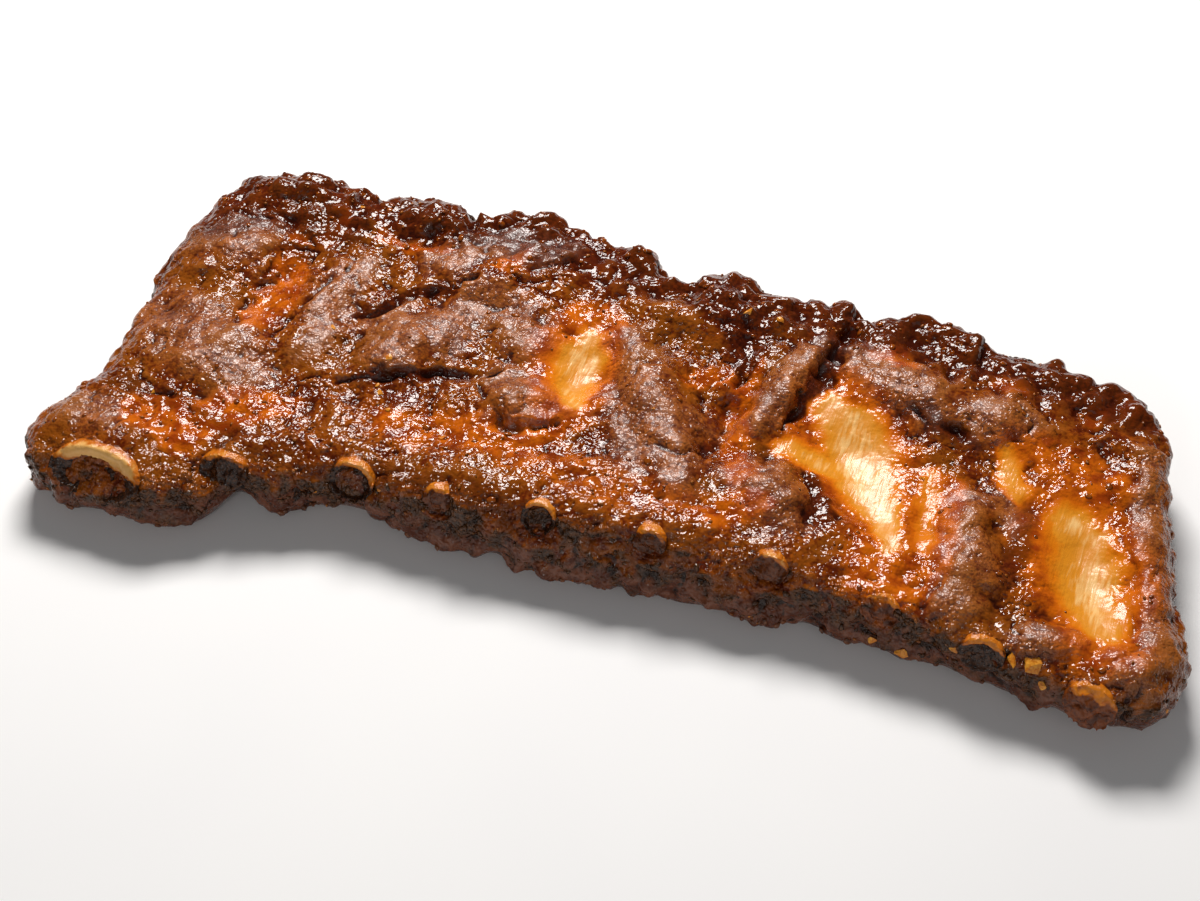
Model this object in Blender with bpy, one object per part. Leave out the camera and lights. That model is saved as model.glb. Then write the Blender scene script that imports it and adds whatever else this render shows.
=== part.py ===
"""A rack of pork back ribs, cooked and glazed, lying bone side up.

One slab of meat carries ten rib bones, which run through it from the long front edge,
where their cut ends stand out, to the rear edge. All sizes are in millimetres in the
plan of the rack (X along the rack, Y along the ribs, Z up). They become metres, and the
rack is centred over the origin, when a mesh is made. The rack lies on Z = 0.
"""

import math
from dataclasses import dataclass

import bmesh
import bpy
import numpy as np
from mathutils import Vector, noise

MM = 0.001

# ---------------------------------------------------------------- driving dimensions
CENTRE = (-1.8, 0.6)  # middle of the rack's box in the plan
RIM_HEIGHT = 23.5  # top of the slab along its edges
FRONT_CROWN = (4.0, 2.5, 92.0)  # the front edge is thicker here: x, rise, half width
FRONT_THIN = (142.0, -2.5, 46.0)  # and thinner here
FRONT_FADE = (-40.0, 60.0)  # that crown fades towards the rear: from this Y, over this run
REAR_RISE = 3.5  # the loin meat along the rear edge stands this much higher
REAR_RUN = (15.0, 45.0)  # and rises from this Y, over this run
TOP_LUMPS = (0.9, 13.0)  # unevenness all over the bone side: height and size
EDGE_ROUND = 2.6  # how far the walls bulge past the rim of the top
WALL_LUMPS = (1.2, 11.0)  # and how uneven they are: height and size
RIM_DROP = 2.8  # how far the top falls away at the rim
RIM_REACH = 9.0  # and how far in that begins
BELLY_LIFT = 3.4  # how far the underside curls up at the rim
BELLY_REACH = 20.0  # and how far in that begins
BELLY_LUMPS = (1.1, 26.0)  # unevenness of the meat side: height and size
BELLY_GRAIN = (0.7, 57.0, 0.18)  # long soft waves of the muscle there: height, spacing and slant
BELLY_SINK = 0.35  # lowers both, so that the flats between the lumps rest as well
ARCH_REACH = 16.0  # how far in the arches of the front edge go
RIM_SWELL = 0.35  # share of a swell's height that is left at the rim
SWELL_RUN = 12.0  # and it grows to the whole over about this distance
CLEARANCE = 0.35  # between a bone and the meat around it
OVERRUN = 12.0  # how far a tunnel is cut past the ends of its bone

GRID_ALONG = 58  # quads of the top, along and across the rack
GRID_ACROSS = 19
CURVE_STEPS = 24  # steps between two points of an edge's smooth curve
BONE_SIDES = 12
BONE_STATIONS = 7

# ---------------------------------------------------------------- outline of the slab
# Each edge is a smooth curve through a few points, from left to right or front to rear.
FRONT_EDGE = [
    (-171, -70), (-150, -73), (-130, -69.5), (-116, -57), (-98, -51), (-74, -45), (-45, -43.5),
    (-16, -40.5), (18, -37.5), (55, -34), (87, -35), (119, -38), (150, -42), (163, -43), (170, -36),
]
REAR_EDGE = [
    (-164, 63), (-140, 66), (-114, 67), (-95, 69), (-70, 71), (-42, 71), (-22, 69),
    (-6, 67), (10, 68), (32, 67), (52, 69), (84, 70), (112, 68), (146, 64),
]
LEFT_EDGE = [
    (-171, -70), (-176, -58), (-169, -40), (-167, -20), (-169, 2), (-173, 20), (-169, 43), (-164, 63),
]
RIGHT_EDGE = [(170, -36), (172, -20), (166, -4), (159, 21), (155, 45), (146, 64)]

# The foot of the front wall stands this far outside the rim (or inside it, below 0), at places along X.
FRONT_LEAN = [
    (-171, 0), (-140, 1), (-126, 5), (-116, 12), (-109, -3), (-98, 4), (-76, -2), (-55, 3), (-38, 6),
    (-30, 4), (-18, 9), (4, 7), (25, 5), (50, 9), (60, 4), (68, 1), (84, 3), (105, 0), (122, -2),
    (138, -1), (150, -5), (170, -3),
]

# Along the rear edge the meat stands out in knobs: where each begins and ends, and its reach.
REAR_KNOBS = [
    (-163, -116, 4.2), (-115, -84, 6.0), (-82, -38, 6.6), (-37, -14, 5.6), (0, 20.5, 6.2),
    (22, 31, 5.4), (33, 56, 5.0), (54, 95, 6.8), (95, 122, 5.0), (120, 145, 4.0),
]
KNOB_DEPTH = 13.0  # how far in from the rear edge a knob also lifts the top
KNOB_LIFT = 0.55  # its lift for each millimetre of its reach
KNOB_FOOT = 0.5  # its reach at the foot of the wall, as a share of that at the rim
KNOB_BLUNT = 0.6  # 0.5 gives a knob a round outline in the plan, 1 a pointed one


# ---------------------------------------------------------------- relief of the slab
@dataclass(frozen=True)
class Swell:
    """A rounded rise of the surface, or a hollow where the rise is negative."""

    name: str
    x: float
    y: float
    half_long: float
    half_wide: float
    turn: float  # degrees from X to the long half
    rise: float


TOP_SWELLS = [
    Swell("left_shoulder", -152, 26, 20, 17, 40, 4.0),
    Swell("left_plateau", -139, -16, 27, 19, 65, 3.6),
    Swell("rib_two_strip", -114, 12, 32, 9, 97, 3.4),
    Swell("flank_lump", -79, 9, 23, 17, 70, 5.0),
    Swell("rear_flank", -60, 47, 27, 15, 12, 4.2),
    Swell("middle_pad", -47, 24, 17, 13, 10, 3.4),
    Swell("button_pad", -36, -2, 17, 12, 10, 4.6),
    Swell("long_fillet", 4, 12, 42, 13, -56, 5.6),
    Swell("low_pad", 47, -9, 16, 11, -30, 3.6),
    Swell("valley_bank", 38, 29, 27, 9, 70, 5.0),
    Swell("rear_cap", 78, 44, 24, 13, -12, 4.8),
    Swell("rear_cap_right", 107, 43, 16, 12, 0, 3.8),
    Swell("rib_nine_ridge", 107, -9, 30, 11, -82, 4.8),
    Swell("right_border", 157, 14, 52, 8, -76, 3.8),
    Swell("corner_lump", 160, -33, 14, 12, 60, 3.6),
    Swell("front_pad_right", 136, -32, 12, 9, 0, 2.6),
    Swell("dark_crag", 9, 56, 25, 15, 20, 4.4),
    Swell("rear_knob_left", -142, 57, 22, 12, 8, 3.4),
    Swell("rear_knob_two", -98, 63, 17, 10, 0, 2.6),
    Swell("front_roll_left", -150, -58, 26, 12, 5, 2.4),
    Swell("tan_hollow_middle", -23, 18, 20, 10, 80, -3.6),
    Swell("tan_hollow_large", 67, 9, 34, 17, -57, -4.6),
    Swell("tan_hollow_side", 92, 0, 19, 6, 90, -2.6),
    Swell("tan_hollow_right", 141, -3, 27, 14, -68, -4.4),
    Swell("slot_left", -132, 19, 23, 6, 82, -3.6),
    Swell("slot_middle", 26, 12, 27, 7, 85, -3.6),
    Swell("valley", 48, 43, 31, 5, 78, -3.6),
    Swell("front_dip_left", -56, -22, 22, 8, 14, -1.8),
    Swell("front_dip_middle", -14, -12, 26, 7, 24, -1.8),
]

# Notches where the front of the underside arches off the board: x, lift, half width.
BELLY_ARCHES = [(-110, 7.0, 9), (-72, 3.0, 9), (-26, 1.5, 7), (40, 2.2, 7), (108, 1.5, 10)]
REST_PATCH = (0.0, 12.0, 26.0)  # the middle of the underside lies flat: x, y, radius


# ---------------------------------------------------------------- the ten rib bones
@dataclass(frozen=True)
class Rib:
    """One rib: where it leaves the front edge, the size of its cut end, and where it ends at the rear."""

    front_x: float
    reach: float  # of the cut end past the rim of the meat
    end_width: float
    end_height: float
    end_top: float  # height of the top of the cut end
    tilt: float  # degrees that the cut faces up from straight ahead
    rear_x: float


RIBS = [
    Rib(-147, 0.2, 33, 12.5, 26.8, 42, -152),
    Rib(-111, 3.8, 17, 8.5, 25.2, 35, -124),
    Rib(-73.5, 2.4, 15.5, 11.5, 25.2, 30, -91),
    Rib(-46, 2.2, 10, 8.0, 25.0, 26, -61),
    Rib(-14.5, 2.0, 11.5, 9.5, 26.6, 28, -29),
    Rib(19, 2.0, 11.5, 8.0, 26.2, 28, 10),
    Rib(55, 2.0, 11.5, 8.5, 26.0, 28, 42),
    Rib(89, 2.6, 12.5, 9.5, 24.0, 22, 74),
    Rib(119.5, 3.4, 14, 11.0, 23.4, 18, 104),
    Rib(151.5, 4.4, 16, 14.0, 22.8, 16, 133),
]
REAR_REACH = 2.6  # of the rear ends past the rim
BODY_WIDTH = 12.0  # of a rib inside the meat
BODY_HEIGHT = 8.5
BODY_COVER = 4.5  # meat over the body of a rib
BODY_SPAN = 8.0  # the cover holds this far to each side
FLARE_SHARE = 0.28  # share of a rib's length over which an end changes into its body
BOW = 0.4  # share of its sideways run that follows an S instead of a straight line
REAR_TOP = 22.5  # height of the rear end
REAR_SIZE = (14.0, 11.0)  # the rear end is a little swollen
MARROW_DEPTH = 1.6  # the cut end is hollowed by the shrunken marrow
MARROW_SLOPE = 0.5  # run of the hollow's side
BONE_WALL = 2.2  # hard wall round the marrow at a cut end
THIN_WALL = 0.2  # and at the most this share of the end's height


def to_metres(x, y, z):
    """A place in the plan and its height, in metres from the origin."""
    return Vector(((x - CENTRE[0]) * MM, (y - CENTRE[1]) * MM, z * MM))


def smooth_curve(points, count):
    """Points spaced evenly along a Catmull-Rom curve through the given points."""
    p = np.array(points, float)
    p = np.vstack([2 * p[0] - p[1], p, 2 * p[-1] - p[-2]])
    t = np.linspace(0, 1, CURVE_STEPS, endpoint=False)[:, None]
    runs = []
    for a, b, c, d in zip(p, p[1:], p[2:], p[3:]):
        bend, twist = 2 * a - 5 * b + 4 * c - d, 3 * b - a - 3 * c + d
        runs.append(b + 0.5 * ((c - a) * t + bend * t**2 + twist * t**3))
    fine = np.vstack([*runs, p[-2:-1]])
    along = np.concatenate([[0], np.cumsum(np.linalg.norm(np.diff(fine, axis=0), axis=1))])
    at = np.linspace(0, along[-1], count)
    return np.stack([np.interp(at, along, fine[:, k]) for k in (0, 1)], axis=1)


def dome(r):
    """1 in the middle, falling smoothly to 0 at r = 1."""
    return max(0.0, 1.0 - r * r) ** 1.5


def ease(t):
    """Smooth step from 0 to 1."""
    t = min(1.0, max(0.0, t))
    return t * t * (3 - 2 * t)


def swell_height(x, y):
    """Sum of the swells at a point of the plan."""
    total = 0.0
    for s in TOP_SWELLS:
        c, n = math.cos(math.radians(s.turn)), math.sin(math.radians(s.turn))
        dx, dy = x - s.x, y - s.y
        total += s.rise * dome(math.hypot((dx * c + dy * n) / s.half_long, (dy * c - dx * n) / s.half_wide))
    return total


def knobbly(x, y, size, salt=0.0):
    """Soft unevenness of about -1 to 1, in blobs of the given size."""
    return noise.noise(Vector((x / size, y / size, salt)))


def knob_reach(x):
    """How far the knobs of the rear edge stand out at a place along it."""
    reach = 0.0
    for start, end, out in REAR_KNOBS:
        across = (2 * x - start - end) / (end - start)
        reach = max(reach, out * max(0.0, 1 - across * across) ** KNOB_BLUNT)
    return reach


def front_lean(x):
    """How far the foot of the front wall stands outside the rim."""
    places, leans = zip(*FRONT_LEAN)
    return float(np.interp(x, places, leans))


def front_thickness(x):
    """How much thicker than elsewhere the front edge is."""
    return sum(rise * dome((x - at) / half) for at, rise, half in (FRONT_CROWN, FRONT_THIN))


def top_height(x, y, rim, behind):
    """Height of the bone side at a place that is so far in from the rim and so far from the rear edge."""
    rear = ease((y - REAR_RUN[0]) / REAR_RUN[1])
    front = 1 - ease((y - FRONT_FADE[0]) / FRONT_FADE[1])
    height = RIM_HEIGHT + REAR_RISE * rear + front_thickness(x) * front
    height += swell_height(x, y) * min(1.0, RIM_SWELL + rim / SWELL_RUN)
    height += KNOB_LIFT * knob_reach(x) * (1 - ease(behind / KNOB_DEPTH))
    height += TOP_LUMPS[0] * knobbly(x, y, TOP_LUMPS[1])
    return height - RIM_DROP * max(0.0, 1 - rim / RIM_REACH) ** 2


def arch_lift(x, y):
    """How high the underside arches off the board in the notches of the front edge."""
    return sum(lift * dome((x - at) / half) for at, lift, half in BELLY_ARCHES) if y < 0 else 0.0


def belly_height(x, y, rim):
    """Height of the meat side: flat where it rests, curling up towards the rim."""
    curl = BELLY_LIFT * max(0.0, 1 - rim / BELLY_REACH) ** 2
    arch = arch_lift(x, y) * max(0.0, 1 - rim / ARCH_REACH)
    wave, spacing, slant = BELLY_GRAIN
    muscle = BELLY_LUMPS[0] * knobbly(x, y, BELLY_LUMPS[1], salt=7.0)
    muscle += wave * math.sin(2 * math.pi * (y + slant * x) / spacing) - BELLY_SINK
    rest_x, rest_y, rest = REST_PATCH
    muscle *= ease(math.hypot(x - rest_x, y - rest_y) / rest - 1)
    return max(0.0, curl + arch + muscle)


def outline(of_foot):
    """The four edges of the top, or of the foot, where the walls meet the underside."""
    front = smooth_curve(FRONT_EDGE, GRID_ALONG + 1)
    rear = smooth_curve(REAR_EDGE, GRID_ALONG + 1)
    left = smooth_curve(LEFT_EDGE, GRID_ACROSS + 1)
    right = smooth_curve(RIGHT_EDGE, GRID_ACROSS + 1)
    rear[1:-1, 1] += [knob_reach(x) * (KNOB_FOOT if of_foot else 1.0) for x, _ in rear[1:-1]]
    if of_foot:
        front[:, 1] -= [front_lean(x) for x, _ in front]
        fade = (1 - np.linspace(0, 1, GRID_ACROSS + 1)) ** 2
        left[:, 1] -= front_lean(left[0, 0]) * fade
        right[:, 1] -= front_lean(right[0, 0]) * fade
    return front, rear, left, right


def plan_grid(front, rear, left, right):
    """The plan as a grid: the four edges blended across the slab (a Coons patch)."""
    u = np.linspace(0, 1, GRID_ALONG + 1)[:, None, None]
    v = np.linspace(0, 1, GRID_ACROSS + 1)[None, :, None]
    edges = (1 - v) * front[:, None] + v * rear[:, None] + (1 - u) * left[None] + u * right[None]
    corners = (1 - u) * ((1 - v) * front[0] + v * rear[0]) + u * ((1 - v) * front[-1] + v * rear[-1])
    return edges - corners


def rim_loop():
    """Grid places round the rim, counter-clockwise seen from above."""
    n, m = GRID_ALONG, GRID_ACROSS
    return [(i, 0) for i in range(n)] + [(n, j) for j in range(m)] \
        + [(i, m) for i in range(n, 0, -1)] + [(0, j) for j in range(m, 0, -1)]


def edge_distance(plan, edge):
    """Distance of each place of the grid from the nearest of some points."""
    gaps = plan[:, :, None] - edge[None, None]
    return np.sqrt((gaps**2).sum(-1)).min(-1)


def outward(rim):
    """Outward direction at each point of the closed rim."""
    tangent = np.roll(rim, -2, axis=0) - np.roll(rim, 2, axis=0)
    normal = np.stack([tangent[:, 1], -tangent[:, 0]], axis=1)
    return normal / np.linalg.norm(normal, axis=1)[:, None]


# Rows of the wall: share of the way down, and share of the bulge.
WALL_ROWS = [(0.10, 0.62), (0.34, 1.0), (0.66, 1.0), (0.90, 0.62)]


def meat_mesh():
    """The slab as a closed bmesh: bone side, meat side, and a rounded wall between them."""
    bm = bmesh.new()
    loop = rim_loop()
    places = [(i, j) for i in range(GRID_ALONG + 1) for j in range(GRID_ACROSS + 1)]
    roof, floor = plan_grid(*outline(of_foot=False)), plan_grid(*outline(of_foot=True))
    rim = np.array([roof[c] for c in loop])
    foot = np.array([floor[c] for c in loop])
    roof_in, roof_behind = edge_distance(roof, rim), edge_distance(roof, roof[:, -1])
    floor_in = edge_distance(floor, foot)
    high = {c: top_height(*roof[c], roof_in[c], roof_behind[c]) for c in places}
    low = {c: belly_height(*floor[c], floor_in[c]) for c in places}
    top = {c: bm.verts.new(to_metres(*roof[c], high[c])) for c in places}
    belly = {c: bm.verts.new(to_metres(*floor[c], low[c])) for c in places}
    for i in range(GRID_ALONG):
        for j in range(GRID_ACROSS):
            cell = [(i, j), (i + 1, j), (i + 1, j + 1), (i, j + 1)]
            bm.faces.new([top[c] for c in cell])
            bm.faces.new([belly[c] for c in reversed(cell)])
    away = outward(rim)
    rows = [[top[c] for c in loop]]
    for down, bulge in WALL_ROWS:
        row = []
        for k, c in enumerate(loop):
            x, y = rim[k] + (foot[k] - rim[k]) * down
            out = EDGE_ROUND * bulge + WALL_LUMPS[0] * knobbly(x, y, WALL_LUMPS[1], salt=3.0 + down)
            x, y = (x, y) + away[k] * out
            row.append(bm.verts.new(to_metres(x, y, high[c] + (low[c] - high[c]) * down)))
        rows.append(row)
    rows.append([belly[c] for c in loop])
    for upper, lower in zip(rows, rows[1:]):
        for k in range(len(loop)):
            n = (k + 1) % len(loop)
            bm.faces.new([upper[n], upper[k], lower[k], lower[n]])
    return bm


def edge_y(edge, x):
    """Where an edge that runs along the rack passes a place along it."""
    line = smooth_curve(edge, 4 * GRID_ALONG)
    return float(np.interp(x, line[:, 0], line[:, 1]))


def cover_height(x, y):
    """Height that a rib's top may reach inside the meat: below the lowest part of the surface round about."""
    around = [(x + dx, y + dy) for dx in (-BODY_SPAN, 0, BODY_SPAN) for dy in (-BODY_SPAN, 0, BODY_SPAN)]
    return min(top_height(*place, RIM_REACH, KNOB_DEPTH) for place in around) - BODY_COVER


def rib_station(rib, t):
    """Centre, width and height of a rib, from its front end at t = 0 to its rear end at t = 1."""
    flare, tail = 1 - ease(t / FLARE_SHARE), ease((t - 1 + FLARE_SHARE) / FLARE_SHARE)
    body = 1 - flare - tail
    front_y = edge_y(FRONT_EDGE, rib.front_x) - rib.reach
    rear_y = edge_y(REAR_EDGE, rib.rear_x) + knob_reach(rib.rear_x) + REAR_REACH
    x = rib.front_x + (rib.rear_x - rib.front_x) * ((1 - BOW) * t + BOW * ease(t))
    y = front_y + (rear_y - front_y) * t
    width = rib.end_width * flare + BODY_WIDTH * body + REAR_SIZE[0] * tail
    height = rib.end_height * flare + BODY_HEIGHT * body + REAR_SIZE[1] * tail
    top = rib.end_top * flare + cover_height(x, y) * body + REAR_TOP * tail
    return Vector((x, y, top - height / 2)), width, height


def oval_ring(bm, centre, width, height, tilt=0.0):
    """Adds a ring of vertices round an oval section, which faces along Y or, tilted, along Y and up."""
    ring = []
    for s in range(BONE_SIDES):
        a = 2 * math.pi * (s + 0.5) / BONE_SIDES
        up = math.sin(a) * height / 2
        offset = Vector((math.cos(a) * width / 2, up * math.tan(math.radians(tilt)), up))
        ring.append(bm.verts.new(to_metres(*(centre + offset))))
    return ring


def oval_tube(sections):
    """A closed tube through oval sections, front to rear. Returns the bmesh and its front cap."""
    bm = bmesh.new()
    rings = [oval_ring(bm, *section) for section in sections]
    for near, far in zip(rings, rings[1:]):
        for s in range(BONE_SIDES):
            n = (s + 1) % BONE_SIDES
            bm.faces.new([near[s], near[n], far[n], far[s]])
    front = bm.faces.new(reversed(rings[0]))
    bm.faces.new(rings[-1])
    return bm, front


def rib_sections(rib):
    """Centre, width, height and tilt of a rib's sections, front to rear. The first is the tilted cut."""
    stations = [rib_station(rib, k / (BONE_STATIONS - 1)) for k in range(BONE_STATIONS)]
    return [(*station, 0.0 if k else rib.tilt) for k, station in enumerate(stations)]


def rib_mesh(rib):
    """A rib as a closed bmesh: an oval tube whose cut end is hollowed where the marrow has shrunk."""
    bm, cut = oval_tube(rib_sections(rib))
    wall = min(BONE_WALL, THIN_WALL * rib.end_height)
    bmesh.ops.inset_individual(bm, faces=[cut], thickness=wall * MM)
    bmesh.ops.inset_individual(bm, faces=[cut], thickness=MARROW_SLOPE * MM)
    bmesh.ops.translate(bm, verts=cut.verts, vec=(0, MARROW_DEPTH * MM, 0))
    bmesh.ops.recalc_face_normals(bm, faces=bm.faces)
    return bm


def tunnel_mesh(rib):
    """The way of a rib through the meat: its own shape, wider by the clearance and longer at both ends."""
    sections = [(c, w + 2 * CLEARANCE, h + 2 * CLEARANCE, tilt) for c, w, h, tilt in rib_sections(rib)]
    first, last = sections[0], sections[-1]
    before = (first[0] - Vector((0, OVERRUN, 0)), *first[1:])
    after = (last[0] + Vector((0, OVERRUN, 0)), *last[1:])
    bm, _ = oval_tube([before, *sections, after])
    bmesh.ops.recalc_face_normals(bm, faces=bm.faces)
    return bm


# ---------------------------------------------------------------- Blender objects
GLAZE_COLOUR = (0.16, 0.045, 0.014)
GLAZE_ROUGHNESS = 0.35
BONE_COLOUR = (0.62, 0.36, 0.12)
BONE_ROUGHNESS = 0.45


def material(name, colour, roughness):
    """A plain Principled material."""
    made = bpy.data.materials.new(name)
    made.use_nodes = True
    shader = made.node_tree.nodes["Principled BSDF"]
    shader.inputs["Base Color"].default_value = (*colour, 1)
    shader.inputs["Roughness"].default_value = roughness
    shader.inputs["Metallic"].default_value = 0.0
    return made


def add_object(name, bm, finish=None):
    """Turns a bmesh into a smooth-shaded object of the scene."""
    mesh = bpy.data.meshes.new(name)
    bm.to_mesh(mesh)
    bm.free()
    mesh.shade_smooth()
    made = bpy.data.objects.new(name, mesh)
    bpy.context.scene.collection.objects.link(made)
    if finish:
        mesh.materials.append(finish)
    return made


def add_tunnel(meat, name, rib):
    """Cuts the way of one rib through the meat."""
    cutter = add_object(name, tunnel_mesh(rib))
    cutter.hide_render = True
    cutter.display_type = "WIRE"
    cut = meat.modifiers.new(name, "BOOLEAN")
    cut.operation = "DIFFERENCE"
    cut.object = cutter


def main():
    """Builds the meat and the ten ribs."""
    for old in list(bpy.data.objects):
        bpy.data.objects.remove(old)
    glazed = material("glazed_meat", GLAZE_COLOUR, GLAZE_ROUGHNESS)
    bone = material("rib_bone", BONE_COLOUR, BONE_ROUGHNESS)
    meat = add_object("meat", meat_mesh(), glazed)
    for number, rib in enumerate(RIBS, 1):
        add_object(f"rib_{number:02d}", rib_mesh(rib), bone)
        add_tunnel(meat, f"tunnel_{number:02d}", rib)


if __name__ == "__main__":
    main()
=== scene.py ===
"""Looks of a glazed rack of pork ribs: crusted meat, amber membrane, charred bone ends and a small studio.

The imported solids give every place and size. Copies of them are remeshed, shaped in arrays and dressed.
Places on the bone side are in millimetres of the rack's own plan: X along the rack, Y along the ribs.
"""

import logging
import math
from dataclasses import dataclass
from enum import Enum

import bpy
import numpy as np
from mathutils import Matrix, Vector


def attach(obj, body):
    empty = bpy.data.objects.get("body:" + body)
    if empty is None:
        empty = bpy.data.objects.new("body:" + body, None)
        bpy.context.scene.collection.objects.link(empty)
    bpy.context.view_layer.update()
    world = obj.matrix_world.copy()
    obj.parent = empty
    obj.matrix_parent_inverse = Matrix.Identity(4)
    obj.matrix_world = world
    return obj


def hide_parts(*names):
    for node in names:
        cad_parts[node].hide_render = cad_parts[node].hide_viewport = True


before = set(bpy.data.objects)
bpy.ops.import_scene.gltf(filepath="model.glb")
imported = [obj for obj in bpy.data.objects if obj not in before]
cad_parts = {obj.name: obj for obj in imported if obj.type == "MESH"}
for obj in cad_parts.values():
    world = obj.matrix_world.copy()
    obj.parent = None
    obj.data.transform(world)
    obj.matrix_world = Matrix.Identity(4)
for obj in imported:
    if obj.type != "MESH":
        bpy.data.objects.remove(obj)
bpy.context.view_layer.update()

MM = 0.001
LOG = logging.getLogger("rack_of_ribs")

Array = np.ndarray
Colour = tuple[float, float, float]
Place = tuple[float, float, float]


# ---------------------------------------------------------------- numbers
def ramp(values: Array, low: float, high: float) -> Array:
    """Smooth step of the values, from 0 at low to 1 at high. Low may be the larger of the two."""
    t = np.clip((values - low) / (high - low), 0.0, 1.0)
    return t * t * (3.0 - 2.0 * t)


def bell(values: Array) -> Array:
    """1 at 0, falling softly to almost 0 at 2."""
    return np.exp(-(values**2))


class Noise:
    """Gradient noise and cells in three dimensions, worked out for many places at once."""

    SIZE = 256

    def __init__(self, seed: int) -> None:
        """Draws the tables of one seed."""
        rng = np.random.default_rng(seed)
        self.order = np.tile(rng.permutation(self.SIZE), 2)
        slopes = rng.normal(size=(self.SIZE, 3))
        self.slopes = slopes / np.linalg.norm(slopes, axis=1)[:, None]
        self.spots = rng.random((self.SIZE, 3))

    def pick(self, cell: Array) -> Array:
        """Number of the table's row for each cell."""
        x, y, z = (cell % self.SIZE).T
        return self.order[self.order[self.order[x] + y] + z]

    def smooth(self, places: Array) -> Array:
        """Gradient noise of about -1 to 1, with one lump to a unit."""
        cell = np.floor(places).astype(int)
        part = places - cell
        fade = part**3 * (part * (part * 6 - 15) + 10)
        total = np.zeros(len(places))
        for corner in np.ndindex(2, 2, 2):
            slope = self.slopes[self.pick(cell + corner)]
            weight = np.prod(np.where(corner, fade, 1 - fade), axis=1)
            total += weight * np.einsum("ij,ij->i", slope, part - corner)
        return 1.6 * total

    def layers(self, places: Array, count: int = 3) -> Array:
        """Noise in layers, each half as large and half as strong as the one before."""
        return sum(self.smooth(places * 2.0**k + 17.3 * k) / 2.0**k for k in range(count))

    def ridges(self, places: Array, count: int = 2) -> Array:
        """Noise with sharp crests, of about -1 to 1."""
        return sum((1 - 2 * np.abs(self.smooth(places * 2.1**k + 9.1 * k))) / 2.0**k for k in range(count))

    def cells(self, places: Array) -> tuple[Array, Array]:
        """Rounded cells.

        Args:
            places: where to work them out, with one cell to a unit.

        Returns:
            The distance to the nearest cell's middle, and how much further the next one is.
        """
        cell = np.floor(places).astype(int)
        first = np.full(len(places), 9.0)
        second = first.copy()
        for step in np.ndindex(3, 3, 3):
            there = cell + np.array(step) - 1
            gap = np.linalg.norm(there + self.spots[self.pick(there)] - places, axis=1)
            second = np.minimum(second, np.maximum(first, gap))
            first = np.minimum(first, gap)
        return first, second - first


# ---------------------------------------------------------------- features of the bone side
@dataclass(frozen=True)
class Stroke:
    """A soft band on the bone side: places along its middle line, each with a half width."""

    name: str
    path: tuple[Place, ...]
    strength: float = 1.0

    def reach(self, x: Array, y: Array) -> Array:
        """Distance from the middle line, in half widths."""
        best = np.full(x.shape, np.inf)
        for (ax, ay, ar), (bx, by, br) in zip(self.path, self.path[1:]):
            dx, dy = bx - ax, by - ay
            t = np.clip(((x - ax) * dx + (y - ay) * dy) / (dx * dx + dy * dy), 0.0, 1.0)
            best = np.minimum(best, np.hypot(x - ax - t * dx, y - ay - t * dy) / (ar + t * (br - ar)))
        return best


def cover(strokes: tuple[Stroke, ...], x: Array, y: Array, edge: float) -> Array:
    """How much of each place the strokes cover.

    Args:
        strokes: the bands.
        x: places along the rack.
        y: places along the ribs.
        edge: softness of their edges, in half widths.

    Returns:
        The strongest of the strokes at each place.
    """
    strongest = np.zeros(x.shape)
    for stroke in strokes:
        strongest = np.maximum(strongest, stroke.strength * ramp(stroke.reach(x, y), 1 + edge, 1 - edge))
    return strongest


# Firm pads of meat with a clear edge. The strength is the rise in millimetres.
PADS = (
    Stroke("left_shoulder", ((-165, 28, 9), (-150, 32, 12)), 1.3),
    Stroke("left_plateau", ((-160, -4, 9), (-141, -12, 14), (-122, -22, 9)), 1.2),
    Stroke("rib_two_strip", ((-107, 34, 6), (-108, 18, 6), (-107, -2, 7)), 1.4),
    Stroke("flank_lump", ((-84, 14, 9), (-80, 3, 9), (-70, 20, 10), (-66, 10, 7)), 1.6),
    Stroke("rear_flank", ((-80, 45, 7), (-66, 58, 8), (-50, 62, 7)), 1.6),
    Stroke("middle_pad", ((-66, 37, 6), (-54, 31, 8), (-42, 24, 9)), 1.2),
    Stroke("button_pad", ((-42, 5, 7), (-36, -1, 10), (-28, -2, 7)), 1.7),
    Stroke("long_fillet", ((-13, 32, 8), (-7, 20, 9), (2, 8, 12), (12, -4, 12), (21, -14, 7)), 1.5),
    Stroke("low_pad", ((40, -5, 7), (47, -10, 9), (54, -17, 7)), 1.4),
    Stroke("valley_bank", ((35, 14, 6), (39, 26, 7), (43, 40, 6), (47, 52, 5)), 1.7),
    Stroke("rear_cap", ((60, 50, 7), (72, 47, 8), (85, 41, 8)), 1.6),
    Stroke("rear_cap_right", ((101, 41, 8), (113, 42, 7)), 1.4),
    Stroke("rib_nine_ridge", ((102, 9, 5), (107, -4, 7), (110, -18, 8), (109, -29, 6)), 1.5),
    Stroke("small_pad", ((115, 10, 6), (121, 5, 5)), 1.2),
    Stroke("right_border", ((151, 42, 4), (157, 18, 5), (163, -6, 5), (167, -26, 5)), 1.6),
    Stroke("front_pad_right", ((133, -34, 6), (143, -32, 5)), 1.3),
    Stroke("corner_lump", ((161, -34, 7), (166, -38, 6)), 1.4),
    Stroke("front_roll_left", ((-165, -52, 8), (-152, -56, 7)), 1.2),
)

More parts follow.
